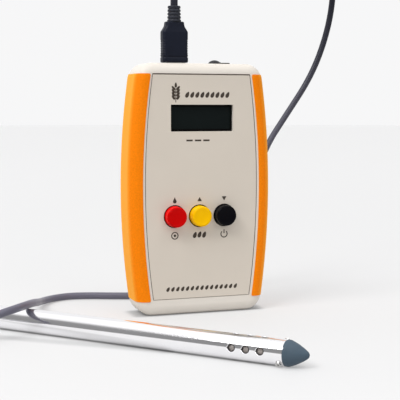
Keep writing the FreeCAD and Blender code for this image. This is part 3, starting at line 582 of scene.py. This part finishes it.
# under the keys: a target, kernels, a power sign
zt = 47.0
mk.arc(BX[0], zt, 1.95, 0.62, 0, 360)
mk.ell(BX[0], zt, 0.8, 0.8)
for k in (-1, 0, 1):
    mk.seed(BX[1] + k * 2.9, zt + 0.2 * (1 - abs(k)), 1.9, 1.08, math.radians(68))
mk.arc(BX[2], zt, 1.95, 0.62, 130, 410)
mk.rect(BX[2], zt + 1.5, 0.62, 2.3)
# foot of the label: a row of kernels as a plain ornament
for k in range(15):
    mk.seed(0.2 + (k - 7) * 3.0, 15.6, 1.5, 0.86, math.radians(58))
marks = bm_obj("label_marks", mk.bm, "print", smooth=False)

# -------------------------------------------------- display mask and cells
LX, LZ = 0.3, 115.25
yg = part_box("lcd_glass")[0].y / MM
fm = bmesh.new()


def frame_quad(bm, x0, x1, z0, z1, ix0, ix1, iz0, iz1, y, t):
    o = [(x0, z0), (x1, z0), (x1, z1), (x0, z1)]
    i = [(ix0, iz0), (ix1, iz0), (ix1, iz1), (ix0, iz1)]
    vo = [[bm.verts.new((x * MM, yy * MM, z_ * MM)) for x, z_ in o] for yy in (y - t, y + 0.01)]
    vi = [[bm.verts.new((x * MM, yy * MM, z_ * MM)) for x, z_ in i] for yy in (y - t, y + 0.01)]
    for k in range(4):
        j = (k + 1) % 4
        bm.faces.new((vo[0][k], vo[0][j], vi[0][j], vi[0][k]))
        bm.faces.new((vo[1][j], vo[1][k], vi[1][k], vi[1][j]))
        bm.faces.new((vo[0][j], vo[0][k], vo[1][k], vo[1][j]))
        bm.faces.new((vi[0][k], vi[0][j], vi[1][j], vi[1][k]))


frame_quad(fm, LX - 19.4, LX + 19.4, LZ - 8.0, LZ + 8.0, LX - 17.9, LX + 17.9, LZ - 6.4, LZ + 6.4, yg, 0.05)
bm_obj("display_mask", fm, "mask", smooth=False)


# painted shadow: a fine dark line laid where the label's cut edge meets the recess, where the step's shadow falls
painted_edge_shadow = bmesh.new()
LZ0, LZ1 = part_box("front_label")[0].z / MM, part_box("front_label")[1].z / MM
LXM, LXE = 34.48, 29.88
hm, hh = (LZ0 + LZ1) / 2, (LZ1 - LZ0) / 2
sg = LXM - LXE
RL = (hh * hh + sg * sg) / (2 * sg)


def lab_x(z_, inset=0.0):
    return LXM - RL + math.sqrt(RL * RL - (z_ - hm) ** 2) - inset


def strip(a_, b_, y=-12.31):
    # two matching lists of (x, z) joined into a thin raised strip
    va = [painted_edge_shadow.verts.new((x_ * MM, y * MM, z_ * MM)) for x_, z_ in a_]
    vb = [painted_edge_shadow.verts.new((x_ * MM, y * MM, z_ * MM)) for x_, z_ in b_]
    vc = [painted_edge_shadow.verts.new((x_ * MM, (y + 0.03) * MM, z_ * MM)) for x_, z_ in a_]
    vd = [painted_edge_shadow.verts.new((x_ * MM, (y + 0.03) * MM, z_ * MM)) for x_, z_ in b_]
    n_ = len(va)
    for i in range(n_ - 1):
        for p_, q_ in ((va, vb), (vb, vd), (vd, vc), (vc, va)):
            painted_edge_shadow.faces.new((p_[i], p_[i + 1], q_[i + 1], q_[i]))
    painted_edge_shadow.faces.new((va[0], vb[0], vd[0], vc[0]))
    painted_edge_shadow.faces.new((va[-1], vc[-1], vd[-1], vb[-1]))


zs = [LZ0 + 0.1 + (LZ1 - LZ0 - 0.2) * i / 48 for i in range(49)]
for sgn in (-1, 1):
    strip([(sgn * lab_x(z_, 0.02), z_) for z_ in zs], [(sgn * lab_x(z_, 0.36), z_) for z_ in zs])
xt, xb = lab_x(LZ1 - 0.3), lab_x(LZ0 + 0.3)
strip([(-xt + 0.2, LZ1 - 0.02), (0, LZ1 - 0.02), (xt - 0.2, LZ1 - 0.02)], [(-xt + 0.2, LZ1 - 0.62), (0, LZ1 - 0.62), (xt - 0.2, LZ1 - 0.62)], y=-12.315)
strip([(-xb + 0.2, LZ0 + 0.02), (0, LZ0 + 0.02), (xb - 0.2, LZ0 + 0.02)], [(-xb + 0.2, LZ0 + 0.22), (0, LZ0 + 0.22), (xb - 0.2, LZ0 + 0.22)], y=-12.315)
bm_obj("label_edge_line", painted_edge_shadow, "painted_edge_shadow", smooth=False)

# ---------------------------------------------------------- rocker paddle
RX, RPZ, TILT = 14.2, 146.4, math.radians(12.0)


def turn(y_, z_):
    return y_ * math.cos(TILT) - z_ * math.sin(TILT), y_ * math.sin(TILT) + z_ * math.cos(TILT)


prof_top = []
for i in range(25):
    y_ = -5.95 + 11.9 * i / 24
    prof_top.append((y_, 0.72 + (abs(y_) / 5.95) ** 1.25 * 1.2))
rb = bmesh.new()
NX = 13
grid = []
for i, (y_, z_) in enumerate(prof_top):
    row = []
    for j in range(NX):
        u_ = -1 + 2 * j / (NX - 1)
        e_ = 1 - abs(u_) ** 2.2
        end = abs(y_) / 5.95
        drop_ = (1 - e_) * (0.25 + 1.35 * end ** 2)
        yy = y_ * (1 - 0.03 * (1 - e_))
        a_, b_ = turn(yy, z_ - drop_ * 0.8)
        row.append(rb.verts.new(((RX + 3.7 * u_) * MM, a_ * MM, (RPZ + b_) * MM)))
    grid.append(row)
for i in range(len(grid) - 1):
    for j in range(NX - 1):
        rb.faces.new((grid[i][j], grid[i][j + 1], grid[i + 1][j + 1], grid[i + 1][j]))
edge_loop = ([(0, j) for j in range(NX)] + [(i, NX - 1) for i in range(1, len(grid))]
             + [(len(grid) - 1, j) for j in range(NX - 2, -1, -1)] + [(i, 0) for i in range(len(grid) - 2, 0, -1)])
base = []
for i, j in edge_loop:
    y_ = prof_top[i][0]
    u_ = -1 + 2 * j / (NX - 1)
    a_, b_ = turn(y_ * 0.99, -0.9 - 3.4 * (1 - (abs(y_) / 5.95) ** 3))
    base.append(rb.verts.new(((RX + 3.7 * u_) * MM, a_ * MM, (RPZ + b_) * MM)))
n_ = len(edge_loop)
for k in range(n_):
    a0 = grid[edge_loop[k][0]][edge_loop[k][1]]
    a1 = grid[edge_loop[(k + 1) % n_][0]][edge_loop[(k + 1) % n_][1]]
    rb.faces.new((a0, base[k], base[(k + 1) % n_], a1))
rb.faces.new(list(reversed(base)))
paddle = bm_obj("rocker_cap", rb, "black", body="rocker", angle=38)
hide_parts("rocker_paddle")

# --------------------------------------------------------------- the stage
bm = bmesh.new()
R, FRONT = 7.0, -0.42
a0 = math.asin(FRONT / R)
N = 64
vs = [bm.verts.new((R * math.cos(a0 + (math.pi - 2 * a0) * i / N), R * math.sin(a0 + (math.pi - 2 * a0) * i / N), -0.00002))
      for i in range(N + 1)]
bm.faces.new(vs)
me = bpy.data.meshes.new("floor")
bm.to_mesh(me)
bm.free()
floor = bpy.data.objects.new("floor", me)
scene.collection.objects.link(floor)
FLOOR_ALB, EM_NEAR, EM_FAR, BACK = 0.40, 0.335, 0.17, 0.93
fmat = bpy.data.materials.new("floor_paper")
fmat.use_nodes = True
ft = fmat.node_tree
fb = ft.nodes["Principled BSDF"]
fb.inputs["Roughness"].default_value = 0.7
fb.inputs["Specular IOR Level"].default_value = 0.1
ftc = ft.nodes.new("ShaderNodeTexCoord")
fn = ft.nodes.new("ShaderNodeTexNoise")
fn.inputs["Scale"].default_value = 9.0
ft.links.new(ftc.outputs["Object"], fn.inputs["Vector"])
fr_ = ft.nodes.new("ShaderNodeValToRGB")
fr_.color_ramp.elements[0].color = (FLOOR_ALB * 0.99, FLOOR_ALB * 0.99, FLOOR_ALB * 1.0, 1)
fr_.color_ramp.elements[1].color = (FLOOR_ALB, FLOOR_ALB, FLOOR_ALB, 1)
ft.links.new(fn.outputs["Fac"], fr_.inputs["Fac"])
ft.links.new(fr_.outputs["Color"], fb.inputs["Base Color"])
# the paper brightens with distance, as a lit sweep does
fl = ft.nodes.new("ShaderNodeVectorMath")
fl.operation = "LENGTH"
ft.links.new(ftc.outputs["Object"], fl.inputs[0])
def fmath(op, a_, b_=None, v=None):
    n = ft.nodes.new("ShaderNodeMath")
    n.operation = op
    ft.links.new(a_, n.inputs[0])
    if b_ is not None:
        ft.links.new(b_, n.inputs[1])
    if v is not None:
        n.inputs[1].default_value = v
    return n.outputs["Value"]


r2 = fmath("POWER", fl.outputs["Value"], v=2.0)
fall = fmath("DIVIDE", r2, fmath("ADD", r2, v=1.2))
glow = fmath("ADD", fmath("MULTIPLY", fall, v=EM_FAR), v=EM_NEAR)
fsep = ft.nodes.new("ShaderNodeSeparateXYZ")
ft.links.new(ftc.outputs["Object"], fsep.inputs[0])


def away(ax, ay, cx, cy, half_a, half_b, soft, least=0.05):
    # 0 under a footprint turned so that (ax, ay) is its long way, 1 beyond its soft rim
    xs = fmath("SUBTRACT", fsep.outputs["X"], v=cx)
    ys = fmath("SUBTRACT", fsep.outputs["Y"], v=cy)
    al = fmath("ADD", fmath("MULTIPLY", xs, v=ax), fmath("MULTIPLY", ys, v=ay))
    pe = fmath("ADD", fmath("MULTIPLY", xs, v=-ay), fmath("MULTIPLY", ys, v=ax))
    da = fmath("MAXIMUM", fmath("SUBTRACT", fmath("ABSOLUTE", al), v=half_a), v=0.0)
    db = fmath("MAXIMUM", fmath("SUBTRACT", fmath("ABSOLUTE", pe), v=half_b), v=0.0)
    d_ = fmath("SQRT", fmath("ADD", fmath("MULTIPLY", da, da), fmath("MULTIPLY", db, db)))
    m_ = ft.nodes.new("ShaderNodeMapRange")
    m_.interpolation_type = "SMOOTHERSTEP"
    m_.inputs["From Min"].default_value, m_.inputs["From Max"].default_value = 0.0, soft
    m_.inputs["To Min"].default_value, m_.inputs["To Max"].default_value = least, 1.0
    ft.links.new(d_, m_.inputs["Value"])
    return m_.outputs["Result"]


mid = on_axis(99.0)
# painted contact shadows: the floor's glow is cut under the case and under the nose half of the tube
under_case = away(1.0, 0.0, 0.0, 0.0, 0.0370, 0.0070, 0.0070, 0.25)
under_tube = away(-CT, ST, mid[0] * MM, mid[1] * MM, 0.083, 0.0003, 0.0055, 0.25)
# the soft shade of the probe on the paper in front of it
tube_shade = away(0.7774, -0.6290, -0.0999, -0.0550, 0.066, 0.0001, 0.0085, 0.50)
glow = fmath("MULTIPLY", glow, fmath("MULTIPLY", fmath("MULTIPLY", under_case, under_tube), tube_shade))
em = ft.nodes.new("ShaderNodeEmission")
em.inputs["Color"].default_value = (1.0, 1.0, 1.0, 1)
ft.links.new(glow, em.inputs["Strength"])
ad = ft.nodes.new("ShaderNodeAddShader")
fo = [n for n in ft.nodes if n.type == "OUTPUT_MATERIAL"][0]
ft.links.new(fb.outputs["BSDF"], ad.inputs[0])
ft.links.new(em.outputs["Emission"], ad.inputs[1])
ft.links.new(ad.outputs["Shader"], fo.inputs["Surface"])
me.materials.append(fmat)

world = bpy.data.worlds.new("studio")
scene.world = world
world.use_nodes = True
wt = world.node_tree
wt.nodes.clear()
wo = wt.nodes.new("ShaderNodeOutputWorld")
bgn = wt.nodes.new("ShaderNodeBackground")
tc = wt.nodes.new("ShaderNodeTexCoord")
sep = wt.nodes.new("ShaderNodeSeparateXYZ")
wt.links.new(tc.outputs["Generated"], sep.inputs[0])


def ramp_of(sock, lo_, hi_, t0, t1):
    n = wt.nodes.new("ShaderNodeMapRange")
    n.interpolation_type = "SMOOTHSTEP"
    n.inputs["From Min"].default_value, n.inputs["From Max"].default_value = lo_, hi_
    n.inputs["To Min"].default_value, n.inputs["To Max"].default_value = t0, t1
    wt.links.new(sock, n.inputs["Value"])
    return n.outputs["Result"]


def math2(op, a_, b_):
    n = wt.nodes.new("ShaderNodeMath")
    n.operation = op
    wt.links.new(a_, n.inputs[0])
    wt.links.new(b_, n.inputs[1])
    return n.outputs["Value"]


# bright ceiling, pale wall behind the object, dark room in front and at the side
ceil = ramp_of(sep.outputs["Z"], 0.46, 0.78, 0.0, 1.1)
wall = ramp_of(sep.outputs["Y"], 0.08, 0.46, 0.27, BACK)
tot = math2("MAXIMUM", ceil, wall)
wt.links.new(tot, bgn.inputs["Strength"])
bgn.inputs["Color"].default_value = (1.0, 1.0, 1.005, 1)
wt.links.new(bgn.outputs["Background"], wo.inputs["Surface"])


def area(name, loc, target, size, power, color=(1, 1, 1)):
    l = bpy.data.lights.new(name, "AREA")
    l.shape = "RECTANGLE"
    l.size, l.size_y = size
    l.energy = power
    l.color = color
    o = bpy.data.objects.new(name, l)
    scene.collection.objects.link(o)
    o.location = loc
    o.rotation_mode = "QUATERNION"
    o.rotation_quaternion = (Vector(target) - Vector(loc)).to_track_quat("-Z", "Y")
    return o


area("softbox_left", (-1.4, -0.75, 1.75), (0, 0, 0.05), (1.2, 1.0), 30.0)
area("fill_front", (0.7, -1.7, 0.95), (0, 0, 0.06), (1.0, 0.8), 4.5)
area("softbox_top", (0.2, -0.5, 1.8), (0, 0, 0.0), (1.5, 1.2), 7.0)
